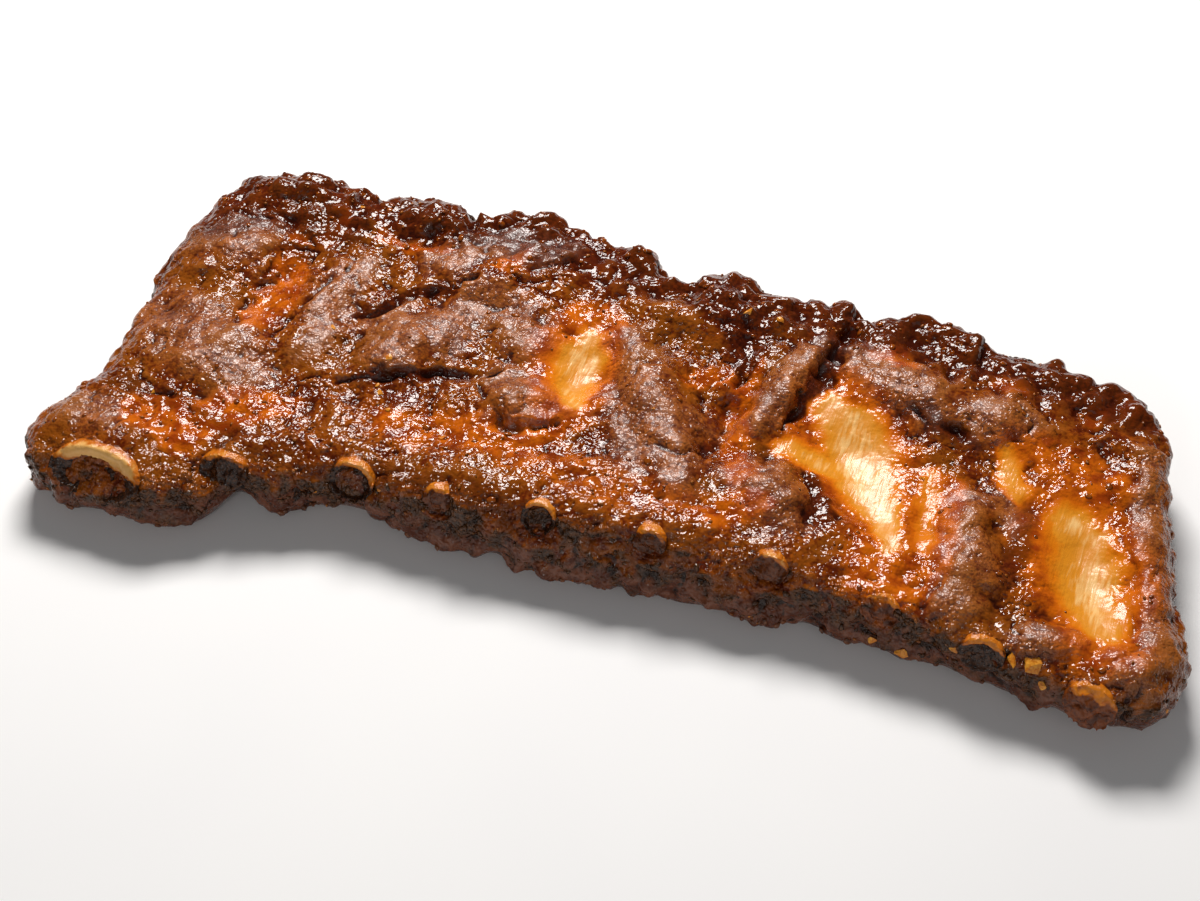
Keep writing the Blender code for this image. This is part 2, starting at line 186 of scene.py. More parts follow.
# Cracks between them. The strength is the depth in millimetres.
CREASES = (
    Stroke("slot_left_side", ((-133, 27, 1.4), (-136, 14, 1.9), (-134, 4, 1.9), (-131, -3, 1.2)), 3.0),
    Stroke("slot_right_side", ((-111, 38, 1.2), (-112.5, 27, 1.7), (-116, 14, 1.4), (-121, -4, 1.2)), 2.6),
    Stroke("flank_crack", ((-67, 42, 1.3), (-76, 34, 2.2), (-84, 29, 2.4), (-92, 19, 2.0), (-100, 14, 1.2)), 3.6),
    Stroke("long_crack", ((-102, -16, 1.2), (-90, -12, 1.8), (-80, -9, 1.8), (-70, -4, 2.4), (-62, 1, 2.2),
                          (-52, 1, 2.0), (-47, 7, 1.4)), 3.6),
    Stroke("button_crescent", ((-50, -2, 1.2), (-45, -8, 1.6), (-37, -12.5, 2.2), (-29, -12, 2.2), (-22, -6, 1.3)), 3.2),
    Stroke("deep_valley", ((53, 70, 2.2), (51.5, 57, 2.8), (50, 44, 3.0), (47.5, 30, 2.4), (45.5, 17, 1.4)), 4.5),
    Stroke("left_front_crack", ((-154, -27, 1.0), (-149, -34, 1.4), (-141, -37, 1.3), (-124, -41, 0.9)), 1.9),
    Stroke("cap_crack", ((79, 37, 1.2), (86, 32, 2.0), (95, 34, 2.2), (101, 29, 1.3)), 3.0),
    Stroke("crag_right", ((19, 61, 1.8), (24, 50, 2.4), (26, 38, 2.2), (25, 27, 1.4)), 3.4),
    Stroke("crag_left", ((-2, 62, 1.6), (0, 50, 1.8), (3, 38, 1.6)), 2.4),
    Stroke("fillet_right", ((6, 34, 1.4), (14, 22, 1.6), (21, 8, 1.8), (25, -4, 1.6)), 1.5),
    Stroke("pit_by_low_pad", ((56, 1, 1.5), (61, -6, 2.6), (67, -12, 1.8)), 2.6),
    Stroke("pad_edge", ((-69, 51, 1.4), (-60, 46, 1.9), (-51, 44, 1.7), (-46, 47, 1.0)), 2.2),
    Stroke("rear_notch_one", ((-120, 66, 1.8), (-117, 56, 2.2), (-115, 47, 1.4)), 2.8),
    Stroke("rear_notch_two", ((-84, 72, 1.4), (-80, 61, 2.0), (-84, 54, 1.2)), 2.6),
    Stroke("right_hollow_edge", ((150, 12, 1.0), (155, -4, 1.3), (160, -22, 1.1)), 1.3),
    Stroke("rear_notch_three", ((93, 70, 1.4), (95, 60, 1.9), (93, 52, 1.2)), 2.4),
    Stroke("ring_hollow", ((162, 57, 2.0), (166, 56, 1.8)), 2.4),
    Stroke("left_fold", ((-160, 46, 1.2), (-150, 43, 1.7), (-138, 45, 1.4), (-126, 40, 1.2)), 1.9),
)

# Bare membrane and fat that shine gold, in the hollows.
GOLD = (
    Stroke("middle_hollow", ((-25, 32, 4.5), (-26, 22, 7), (-24, 12, 6.5), (-20, 3, 4))),
    Stroke("large_hollow", ((56, 31, 5), (64, 25, 9), (72, 11, 9.5), (81, -4, 7), (87, -15, 4))),
    Stroke("large_hollow_lobe", ((50, 10, 4.5), (60, 9, 6)), 0.85),
    Stroke("side_hollow", ((92, 16, 3.0), (94, 2, 4.2), (98, -14, 3.2)), 0.55),
    Stroke("right_hollow", ((133, 14, 6), (139, 7, 8.5), (143, -7, 10), (151, -21, 7))),
    Stroke("small_loop", ((111, 30, 3.5), (114, 23, 4.5), (118, 15, 3)), 0.75),
    Stroke("bone_ring", ((157, 57, 1.5), (162, 62, 1.7), (169, 60, 1.6), (171, 54, 1.4), (165, 51, 1.4),
                         (159, 53, 1.4), (157, 57, 1.5)), 0.75),
)

# Where the glaze is thin over pale meat, it shows amber.
AMBER = (
    Stroke("slot", ((-128, 30, 5), (-126, 16, 8), (-127, 3, 6)), 0.8),
    Stroke("front_left", ((-142, -46, 7), (-128, -47, 9), (-113, -33, 7), (-103, -30, 5)), 0.95),
    Stroke("front_band_left", ((-72, -24, 8), (-50, -20, 10), (-28, -16, 9)), 0.60),
    Stroke("front_band_middle", ((-28, -22, 9), (-8, -24, 10), (12, -25, 9), (32, -23, 7)), 0.45),
    Stroke("under_middle_hollow", ((-20, 1, 4), (-24, -10, 6), (-34, -19, 6)), 0.95),
    Stroke("round_middle_hollow", ((-26, 36, 10), (-27, 22, 13), (-21, 2, 10)), 1.0),
    Stroke("slot_middle", ((27, 44, 3.5), (28, 28, 5), (29, 14, 5), (34, 4, 5), (39, -7, 5)), 0.85),
    Stroke("behind_low_pad", ((34, -24, 5), (42, -19, 5), (50, -15, 3)), 0.95),
    Stroke("round_large_hollow", ((55, 34, 9), (62, 24, 15), (73, 7, 17), (85, -9, 14), (90, -27, 10)), 1.1),
    Stroke("round_right_hollow", ((133, 19, 11), (138, 6, 16), (144, -8, 17), (150, -25, 12)), 1.1),
    Stroke("ridge_foot", ((98, 14, 4), (100, 0, 5), (102, -14, 5), (100, -27, 5)), 0.8),
    Stroke("right_upper", ((113, 32, 7), (128, 33, 9), (143, 29, 7)), 0.6),
    Stroke("rear_streak_one", ((-126, 67, 2.5), (-124, 58, 3), (-122, 47, 2)), 0.9),
    Stroke("rear_streak_two", ((-106, 51, 2), (-94, 49, 3), (-81, 51, 2)), 0.75),
    Stroke("rear_streak_three", ((-57, 67, 1.6), (-56, 57, 2.2), (-62, 48, 2.6)), 0.85),
    Stroke("rear_loop", ((-132, 39, 1.6), (-124, 41, 2.2), (-120, 48, 1.8)), 0.9),
    Stroke("rear_glow_one", ((63, 57, 5), (72, 55, 4)), 0.85),
    Stroke("rear_glow_two", ((101, 56, 3.5), (109, 55, 4)), 0.75),
    Stroke("rear_glow_three", ((134, 54, 4), (142, 61, 3)), 0.75),
    Stroke("crag_glow", ((14, 27, 5), (21, 30, 4)), 0.7),
    Stroke("rear_bead_row", ((-32, 60, 3), (-24, 56, 3)), 0.5),
)

# Dark places: burnt meat and glaze that pools dark red. The strokes along the valley, pit, notches, cracks and the
# ring's hollow, and those named shade, are painted shade.
DARK = (
    Stroke("crag", ((1, 62, 9), (14, 58, 13), (23, 47, 9), (25, 36, 4)), 1.0),
    Stroke("left_corner", ((-166, 55, 8), (-152, 64, 8)), 0.8),
    Stroke("valley", ((53, 70, 4), (51, 55, 4.5), (49, 40, 4), (46.5, 22, 2)), 1.0),
    Stroke("pit", ((57, 0, 3.5), (62, -7, 4.5), (67, -13, 3)), 0.8),
    Stroke("ring_middle", ((162, 57, 2.4), (166, 56, 2.2)), 1.0),
    Stroke("right_hollow_shade", ((124, 13, 3), (124, 0, 4), (122, -15, 3.5)), 0.55),
    Stroke("cap_shade", ((82, 36, 3), (92, 33, 5), (101, 30, 3)), 0.7),
    Stroke("left_notch", ((-120, 66, 6), (-116, 52, 5)), 0.8),
    Stroke("slot_top", ((-131, 33, 4), (-126, 34, 4)), 0.6),
    Stroke("flank_shade", ((-78, 35, 3), (-90, 24, 4), (-99, 15, 3)), 0.7),
    Stroke("crack_shade", ((-86, -11, 3), (-70, -4, 4), (-56, 1, 3)), 0.8),
    Stroke("left_edge", ((-170, -12, 3), (-172, 12, 3), (-170, 35, 4)), 0.6),
    Stroke("left_shoulder_shade", ((-160, 40, 14), (-140, 50, 12), (-120, 48, 10)), 0.65),
    Stroke("front_edge_shade", ((-160, -36, 5), (-100, -46, 5), (-40, -42, 6), (30, -42, 6), (90, -46, 5), (130, -52, 5)), 0.5),
)


# ---------------------------------------------------------------- meshes
def only(obj: bpy.types.Object) -> None:
    """Selects one object and nothing else, and makes it active."""
    bpy.ops.object.select_all(action="DESELECT")
    obj.select_set(True)
    bpy.context.view_layer.objects.active = obj


def finish_modifier(obj: bpy.types.Object, kind: str, **settings: object) -> None:
    """Adds a modifier with its settings and applies it."""
    only(obj)
    made = obj.modifiers.new(kind.title(), kind)
    for name, value in settings.items():
        setattr(made, name, value)
    bpy.ops.object.modifier_apply(modifier=made.name)


def copy_of(node: str, name: str) -> bpy.types.Object:
    """A merged copy of a CAD node, with its own mesh and no material."""
    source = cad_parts[node]
    made = bpy.data.objects.new(name, source.data.copy())
    bpy.context.scene.collection.objects.link(made)
    made.data.materials.clear()
    only(made)
    bpy.ops.object.mode_set(mode="EDIT")
    bpy.ops.mesh.select_all(action="SELECT")
    bpy.ops.mesh.remove_doubles(threshold=0.00002)
    bpy.ops.object.mode_set(mode="OBJECT")
    return made


def read(items: bpy.types.bpy_prop_collection, field: str, width: int, kind: type = np.float32) -> Array:
    """One field of all the items of a mesh, a row for each."""
    values = np.empty(len(items) * width, kind)
    items.foreach_get(field, values)
    return values.reshape(-1, width) if width > 1 else values


def pick_faces(obj: bpy.types.Object, chosen: Array) -> None:
    """Goes into edit mode with just these faces selected."""
    only(obj)
    bpy.ops.object.mode_set(mode="EDIT")
    bpy.context.tool_settings.mesh_select_mode = (False, False, True)
    bpy.ops.mesh.select_all(action="DESELECT")
    bpy.ops.object.mode_set(mode="OBJECT")
    obj.data.polygons.foreach_set("select", chosen)
    bpy.ops.object.mode_set(mode="EDIT")


def subdivide_where(obj: bpy.types.Object, chosen: Array, cuts: int = 1) -> None:
    """Cuts the chosen faces into smaller ones."""
    pick_faces(obj, chosen)
    bpy.ops.mesh.subdivide(number_cuts=cuts)
    bpy.ops.object.mode_set(mode="OBJECT")


def largest_body(obj: bpy.types.Object) -> None:
    """Keeps the largest connected body of a mesh, which drops any sealed hollow inside it."""
    count = len(obj.data.vertices)
    ends = read(obj.data.edges, "vertices", 2, np.int32)
    label = np.arange(count)
    while True:
        low = np.minimum(label[ends[:, 0]], label[ends[:, 1]])
        fresh = label.copy()
        np.minimum.at(fresh, ends[:, 0], low)
        np.minimum.at(fresh, ends[:, 1], low)
        fresh = fresh[fresh]
        if (fresh == label).all():
            break
        label = fresh
    keep = np.bincount(label, minlength=count).argmax()
    only(obj)
    bpy.ops.object.mode_set(mode="EDIT")
    bpy.context.tool_settings.mesh_select_mode = (True, False, False)
    bpy.ops.mesh.select_all(action="DESELECT")
    bpy.ops.object.mode_set(mode="OBJECT")
    obj.data.vertices.foreach_set("select", label != keep)
    bpy.ops.object.mode_set(mode="EDIT")
    bpy.ops.mesh.delete(type="VERT")
    bpy.ops.object.mode_set(mode="OBJECT")


class Surface:
    """A mesh read into arrays, in millimetres, to be shaped point by point."""

    def __init__(self, obj: bpy.types.Object) -> None:
        """Reads the points and the edges."""
        self.mesh = obj.data
        self.points = read(self.mesh.vertices, "co", 3).astype(float) / MM
        self.ends = read(self.mesh.edges, "vertices", 2, np.int32)
        self.links = np.bincount(self.ends.ravel(), minlength=len(self.points))

    def write(self) -> None:
        """Puts the points back into the mesh."""
        self.mesh.vertices.foreach_set("co", (self.points * MM).astype(np.float32).ravel())
        self.mesh.update()

    def normals(self) -> Array:
        """Outward direction at each point."""
        self.write()
        return read(self.mesh.vertex_normals, "vector", 3).astype(float)

    def around(self, values: Array) -> Array:
        """Mean of the neighbours' values at each point."""
        a, b = self.ends.T
        total = np.bincount(a, values[b], len(values)) + np.bincount(b, values[a], len(values))
        return total / self.links

    def blurred(self, values: Array, rounds: int) -> Array:
        """The values, each time replaced by the mean of theirs and their neighbours'."""
        for _ in range(rounds):
            values = 0.5 * values + 0.5 * self.around(values)
        return values

    def relax(self, rounds: int, where: Array | float = 1.0) -> None:
        """Smooths the shape, most where the weight is 1."""
        for _ in range(rounds):
            mean = np.stack([self.around(self.points[:, k]) for k in range(3)], axis=1)
            self.points += 0.5 * np.reshape(where, (-1, 1)) * (mean - self.points)

    def relief(self, rounds: int) -> Array:
        """How far each point stands above the smoothed surface round about it."""
        normals = self.normals()
        smooth = np.stack([self.blurred(self.points[:, k], rounds) for k in range(3)], axis=1)
        return np.einsum("ij,ij->i", self.points - smooth, normals)

    def keep(self, name: str, values: Array) -> None:
        """Stores a value for each point as an attribute for the shader."""
        layer = self.mesh.attributes.new(name, "FLOAT", "POINT")
        layer.data.foreach_set("value", values.astype(np.float32))


# ---------------------------------------------------------------- shader graphs
class Graph:
    """The node tree of one material."""

    def __init__(self, name: str) -> None:
        """Makes an empty material."""
        self.material = bpy.data.materials.new(name)
        self.material.use_nodes = True
        self.tree = self.material.node_tree
        self.tree.nodes.clear()

    def add(self, kind: str, settings: dict | None = None, inputs: dict | None = None,
            output: int | str = 0) -> "Field":
        """Adds a node.

        Args:
            kind: its type, without the usual ShaderNode in front.
            settings: its properties, set before the sockets.
            inputs: the values or links of its sockets, by name or number.
            output: the socket that is returned.

        Returns:
            The output as a field.
        """
        node = self.tree.nodes.new("ShaderNode" + kind)
        for name, value in (settings or {}).items():
            setattr(node, name, value)
        for name, value in (inputs or {}).items():
            if isinstance(value, Field):
                self.tree.links.new(value.socket, node.inputs[name])
            elif isinstance(value, tuple) and node.inputs[name].type == "RGBA":
                node.inputs[name].default_value = (*value, 1.0)
            else:
                node.inputs[name].default_value = value
        return Field(self, node.outputs[output])

    def math(self, operation: str, *values: "Field | float") -> "Field":
        """A Math node."""
        return self.add("Math", {"operation": operation}, dict(enumerate(values)))

    def places(self) -> "Field":
        """Places on the object, in metres."""
        return self.add("TexCoord", output="Object")

    def attribute(self, name: str) -> "Field":
        """A value stored on the points of the mesh."""
        return self.add("Attribute", {"attribute_name": name}, output="Fac")

    def noise(self, size: float, detail: float = 2.0, rough: float = 0.55, bend: float = 0.0,
              at: "Field | None" = None) -> "Field":
        """Noise of 0 to 1, with lumps of the given size in millimetres."""
        inputs = {"Vector": at or self.places(), "Scale": 1.0 / (size * MM), "Detail": detail,
                  "Roughness": rough, "Distortion": bend}
        return self.add("TexNoise", {"noise_dimensions": "3D"}, inputs)

    def cells(self, size: float, feature: str = "F1", wander: float = 1.0, at: "Field | None" = None) -> "Field":
        """Distance to the nearest of scattered spots that far apart, in millimetres."""
        inputs = {"Vector": at or self.places(), "Scale": 1.0 / (size * MM), "Randomness": wander}
        return self.add("TexVoronoi", {"feature": feature}, inputs, "Distance")

    def blend(self, share: "Field | float", a: "Field | Colour", b: "Field | Colour", how: str = "MIX") -> "Field":
        """Colour a turned into colour b by a share."""
        return self.add("Mix", {"data_type": "RGBA", "blend_type": how}, {0: share, 6: a, 7: b}, 2)

    def bump(self, height: "Field", depth: float, strength: float = 1.0, normal: "Field | None" = None) -> "Field":
        """Relief from a height of 0 to 1, so many millimetres deep."""
        inputs = {"Height": height, "Distance": depth * MM, "Strength": strength}
        if normal:
            inputs["Normal"] = normal
        return self.add("Bump", {}, inputs)

    def surface(self, **sockets: "Field | Colour | float") -> bpy.types.Material:
        """Ends the tree in a Principled shader. A socket's spaces are written as underscores."""
        shader = self.add("BsdfPrincipled", {}, {k.replace("_", " "): v for k, v in sockets.items()})
        out = self.tree.nodes.new("ShaderNodeOutputMaterial")
        self.tree.links.new(shader.socket, out.inputs["Surface"])
        return self.material


class Field:
    """A value, vector or colour in a node tree, with arithmetic on values."""

    def __init__(self, graph: Graph, socket: bpy.types.NodeSocket) -> None:
        """Wraps an output socket."""
        self.graph = graph
        self.socket = socket

    def __add__(self, other: "Field | float") -> "Field":
        """Sum."""
        return self.graph.math("ADD", self, other)

    def __sub__(self, other: "Field | float") -> "Field":
        """Difference."""
        return self.graph.math("SUBTRACT", self, other)

    def __rsub__(self, other: float) -> "Field":
        """Difference from a number."""
        return self.graph.math("SUBTRACT", other, self)

    def __mul__(self, other: "Field | float") -> "Field":
        """Product."""
        return self.graph.math("MULTIPLY", self, other)

    __radd__ = __add__
    __rmul__ = __mul__

    def step(self, low: float, high: float, start: float = 0.0, end: float = 1.0) -> "Field":
        """Smooth step from start to end as this goes from low to high."""
        return self.graph.add("MapRange", {"interpolation_type": "SMOOTHSTEP"},
                              {0: self, 1: low, 2: high, 3: start, 4: end})


# ---------------------------------------------------------------- finishes
@dataclass(frozen=True)
class GlazedMeat:
    """Sticky dark glaze over browned meat, thin and amber in places, bare and gold in the hollows."""

    crust: Colour = (0.105, 0.012, 0.0008)
    browned: Colour = (0.320, 0.070, 0.003)
    olive: Colour = (0.235, 0.058, 0.003)
    ridge: Colour = (0.420, 0.120, 0.016)
    # paler meat of the pads, made lighter still as a painted sheen
    milky_and_sheen: Colour = (0.440, 0.150, 0.030)
    # dark red of glaze in pools, also used as painted shade in cracks and hollows
    pooled_glaze_and_shade: Colour = (0.042, 0.0045, 0.0005)
    burnt: Colour = (0.110, 0.014, 0.0015)
    amber: Colour = (0.600, 0.125, 0.002)
    amber_deep: Colour = (0.300, 0.040, 0.0015)
    orange: Colour = (0.700, 0.190, 0.004)
    gold: Colour = (0.720, 0.265, 0.012)
    # pale membrane, also a painted highlight in the middle of the gold patches
    gold_pale_and_highlight: Colour = (0.900, 0.540, 0.190)
    charred: Colour = (0.040, 0.015, 0.005)
    charred_brown: Colour = (0.120, 0.042, 0.012)
    # near black, used as painted shade in the walls' pits
    wall_pit_shade: Colour = (0.012, 0.0045, 0.002)
    lean: Colour = (0.165, 0.054, 0.026)
    lean_deep: Colour = (0.085, 0.020, 0.007)

    def material(self) -> bpy.types.Material:
        """Builds the node tree."""
        g = Graph("glazed_meat")
        gold, amber, dark = g.attribute("gold"), g.attribute("amber"), g.attribute("dark")
        char, lean, pads = g.attribute("char"), g.attribute("lean"), g.attribute("pads")
        wet, lip = g.attribute("wet"), g.attribute("lip")
        fine, broad = g.attribute("fine"), g.attribute("broad")
        wide, middle = g.noise(18.0, 3.0), g.noise(5.0, 3.0, 0.6)
        small = g.noise(1.4, 2.0, 0.55)
        drawn = g.add("VectorMath", {"operation": "MULTIPLY"}, {0: g.places(), 1: (1.0, 0.14, 0.5)})
        streaks = g.noise(1.5, 2.0, 0.6, 0.4, drawn)
        wander = (middle - 0.5) * 0.6 + (small - 0.5) * 0.3
        glow = gold + (streaks - 0.5) * 0.22 + (middle - 0.5) * 0.25 + (wide - 0.5) * 0.25
        thin = (amber * 1.15 + (middle - 0.5) * 0.35 + (wide - 0.5) * 0.5).step(0.12, 0.80)
        dark = (dark + wander + (wide - 0.5) * 0.4).step(0.20, 0.85)
        char = (char + wander).step(0.20, 0.85)
        lean = (lean + wander * 0.8).step(0.25, 0.75)
        body = g.blend(wide.step(0.42, 0.58), self.browned, self.olive)
        base = g.blend((middle * 0.5 + wide * 0.6 + (small - 0.5) * 0.5 - 0.05).step(0.38, 0.59), self.crust, body)
        base = g.blend((fine + broad * 0.35).step(0.10, 0.65) * (1.0 - gold) * 0.45, base, self.ridge)
        # pads lightened: paler meat and a painted sheen
        base = g.blend(pads * 0.32 * small.step(0.2, 0.6), base, self.milky_and_sheen)
        base = g.blend(thin * 0.9, base, g.blend(middle.step(0.35, 0.65), self.amber_deep, self.amber))
        # burnt glaze and painted shade: the dark mask darkens the dark strokes, the rear and the cracks
        base = g.blend(dark * 0.9, base, g.blend(small.step(0.4, 0.7), self.pooled_glaze_and_shade, self.burnt))
        base = g.blend(glow.step(0.10, 0.36) * 0.95, base, self.amber)
        base = g.blend(glow.step(0.28, 0.56), base, self.orange)
        base = g.blend((glow + (wide - 0.5) * 0.3).step(0.52, 0.80), base, self.gold)
        # pale streaks in the middle of the gold: pale membrane and a painted highlight
        base = g.blend((glow + (streaks - 0.5) * 0.7 + (wide - 0.5) * 0.6).step(0.88, 1.25), base, self.gold_pale_and_highlight)
        # darker in hollows and creases: glaze in pools, and painted shade
        base = g.blend((0.0 - fine - broad * 0.5).step(0.10, 0.80) * (1.0 - gold * 0.6) * (1.0 - thin * 0.5), base, self.pooled_glaze_and_shade)
        base = g.blend(lean, base, g.blend(middle.step(0.4, 0.6), self.lean_deep, self.lean))
        base = g.blend(char, base, g.blend(small.step(0.42, 0.68), self.charred, self.charred_brown))
        # painted shade: the hollows and pits of the walls are darkened towards near black
        hollow = (0.0 - fine * 1.5 - broad * 0.6 + (small - 0.5)).step(0.05, 0.9) * (lean + char).step(0.2, 0.9)
        base = g.blend(hollow * 0.9, base, self.wall_pit_shade)
        rough = 0.11 + (middle - 0.5) * 0.12 + gold * 0.16 + char * 0.04 + pads * 0.14
        coarse = (1.0 - gold * 0.75) * (1.0 - amber * 0.25) * (1.0 - wet * 0.4) + lip * 1.3 + char * 0.8
        patchy = g.noise(8.0, 1.0).step(0.35, 0.65, 0.35, 1.25)
        relief = g.bump(streaks * gold, 0.25)
        relief = g.bump(g.noise(3.0, 0.0) * coarse * (1.0 - pads * 0.6), 0.30, 1.0, relief)
        domes = g.cells(1.25, "SMOOTH_F1")
        relief = g.bump((0.0 - domes * domes) * coarse * patchy, 0.62, 1.0, relief)
        relief = g.bump(g.noise(1.15, 0.0) * coarse * (1.0 - pads * 0.5), 0.14, 1.0, relief)
        relief = g.bump(g.noise(0.70, 0.0) * (coarse * 0.5 + pads * 0.6), 0.24, 1.0, relief)
        satin = pads * 0.46 * (middle + small * 0.5) + glow.step(0.5, 1.0) * 0.30
        return g.surface(Base_Color=base, Roughness=rough, Normal=relief, Specular_IOR_Level=0.30,
                         Coat_Weight=satin, Coat_Roughness=0.42)


@dataclass(frozen=True)
class RibBone:
    """Bone stained by the glaze, with burnt marrow in its cut end."""

    pale: Colour = (0.780, 0.430, 0.130)
    stained: Colour = (0.620, 0.190, 0.012)
    edge: Colour = (0.520, 0.130, 0.006)
    glazed: Colour = (0.190, 0.042, 0.004)
    glazed_deep: Colour = (0.070, 0.014, 0.002)
    marrow: Colour = (0.070, 0.022, 0.006)
    burnt: Colour = (0.020, 0.006, 0.002)

    def material(self) -> bpy.types.Material:
        """Builds the node tree."""
        g = Graph("rib_bone")
        bare, pale, hollow = g.attribute("bare"), g.attribute("pale"), g.attribute("hollow")
        middle, small, grain = g.noise(2.6, 3.0), g.noise(0.9, 3.0, 0.6), g.noise(0.5, 1.0, 0.6)
        wander = (middle - 0.5) * 0.5 + (small - 0.5) * 0.3
        shown = bare + wander * 0.5
        bone = g.blend((pale * 0.8 + wander + (bare - 0.9)).step(0.15, 0.95), self.stained, self.pale)
        dirt = g.blend(small.step(0.42, 0.66), self.burnt, self.marrow)
        glaze = g.blend((middle * 0.7 + small * 0.3).step(0.40, 0.58), self.glazed_deep, self.glazed)
        base = g.blend((hollow + wander * 0.4).step(0.1, 0.4), glaze, dirt)
        base = g.blend(shown.step(0.12, 0.45), base, self.edge)
        base = g.blend(shown.step(0.42, 0.80), base, bone)
        relief = g.bump(small * 0.6 + grain * 0.4, 0.30, 1.0)
        relief = g.bump(g.noise(1.5, 0.0) * (1.0 - bare), 0.45, 1.0, relief)
        rough = 0.15 + (small - 0.5) * 0.15 + bare * 0.08
        return g.surface(Base_Color=base, Roughness=rough, Normal=relief, Specular_IOR_Level=0.35)


@dataclass(frozen=True)
class StudioFloor:
    """Smooth pale floor."""

    tint: Colour = (0.93, 0.93, 0.93)

    def material(self) -> bpy.types.Material:
        """Builds the node tree."""
        g = Graph("studio_floor")
        shade = g.blend(g.noise(120.0, 2.0).step(0.3, 0.7), self.tint, (0.91, 0.91, 0.915))
        return g.surface(Base_Color=shade, Roughness=0.85)


# ---------------------------------------------------------------- the ribs
class Way(Enum):
    """Which way an end of a rib looks along Y."""

    FRONT = -1
    REAR = 1


@dataclass(frozen=True)
class BoneEnd:
    """Middle, outward direction and half sizes of a rib's end, in millimetres."""

    middle: Array
    out: Array
    half_width: float
    half_height: float

    def parts(self, points: Array) -> tuple[Array, Array, Array]:
        """Places against the end.

        Args:
            points: places in millimetres.

        Returns:
            Across and up, in half sizes, and how far out of the end, in millimetres.
        """
        gap = points - self.middle
        up = np.cross((1.0, 0.0, 0.0), -self.out)
        return gap[:, 0] / self.half_width, gap @ up / self.half_height, gap @ self.out


def end_of(obj: bpy.types.Object, way: Way) -> BoneEnd:
    """Finds the end of a rib from the faces of its solid that look that way."""
    mesh = obj.data
    normals = read(mesh.polygons, "normal", 3).astype(float)
    centres = read(mesh.polygons, "center", 3).astype(float) / MM
    areas = read(mesh.polygons, "area", 1).astype(float)
    facing = normals[:, 1] * way.value
    tip = (centres[:, 1] * way.value).max()
    faces = (facing > 0.5) & (centres[:, 1] * way.value > tip - 16)
    out = (normals[faces] * areas[faces, None]).sum(0)
    out[0] = 0.0
    out /= np.linalg.norm(out)
    middle = (centres[faces] * areas[faces, None]).sum(0) / areas[faces].sum()
    spots = read(mesh.vertices, "co", 3).astype(float) / MM - middle
    ring = spots[np.abs(spots @ out) < 2.2]
    up = np.cross((1.0, 0.0, 0.0), -out)
    return BoneEnd(middle, out, np.abs(ring[:, 0]).max(), np.abs(ring @ up).max())


@dataclass(frozen=True)
class RibLook:
    """How the cut end of one rib looks. Thicknesses are in half sizes of the end."""

    pale: float  # 0 stained, 1 pale
    upper: float  # thickness of the bare rim at the top
    lower: float = -0.25  # thickness at the foot, below 0 where the marrow runs out into the wall
    turn: float = 0.0  # degrees that the crescent is turned towards +X
    chipped: float = 0.30  # millimetres of roughness on the rim
    foot: float = 0.12  # how bare the lower half of the rim is
    sealed: float = 0.0  # how far glaze fills and covers the marrow


RIB_LOOKS = {
    "rib_01": RibLook(0.95, 0.72, 0.14, 4.0, 0.25, 0.50),
    "rib_02": RibLook(0.55, 0.26, -0.30, -6.0, sealed=0.6),
    "rib_03": RibLook(0.40, 0.46, -0.20, 16.0),
    "rib_04": RibLook(0.20, 0.34, -0.45, -8.0, sealed=0.8),
    "rib_05": RibLook(0.30, 0.46, -0.25, 10.0, sealed=0.2),
    "rib_06": RibLook(0.20, 0.36, -0.40, -4.0, sealed=0.75),
    "rib_07": RibLook(0.60, 0.30, -0.45, 14.0, sealed=0.8),
    "rib_08": RibLook(0.00, 0.34, -0.50, -6.0, 0.40, 0.05, 0.9),
    "rib_09": RibLook(0.10, 0.42, -0.20, 0.0, 0.40, 0.05, 0.4),
    "rib_10": RibLook(0.00, 0.44, -0.30, 8.0, 0.25, 0.05, 1.0),
}


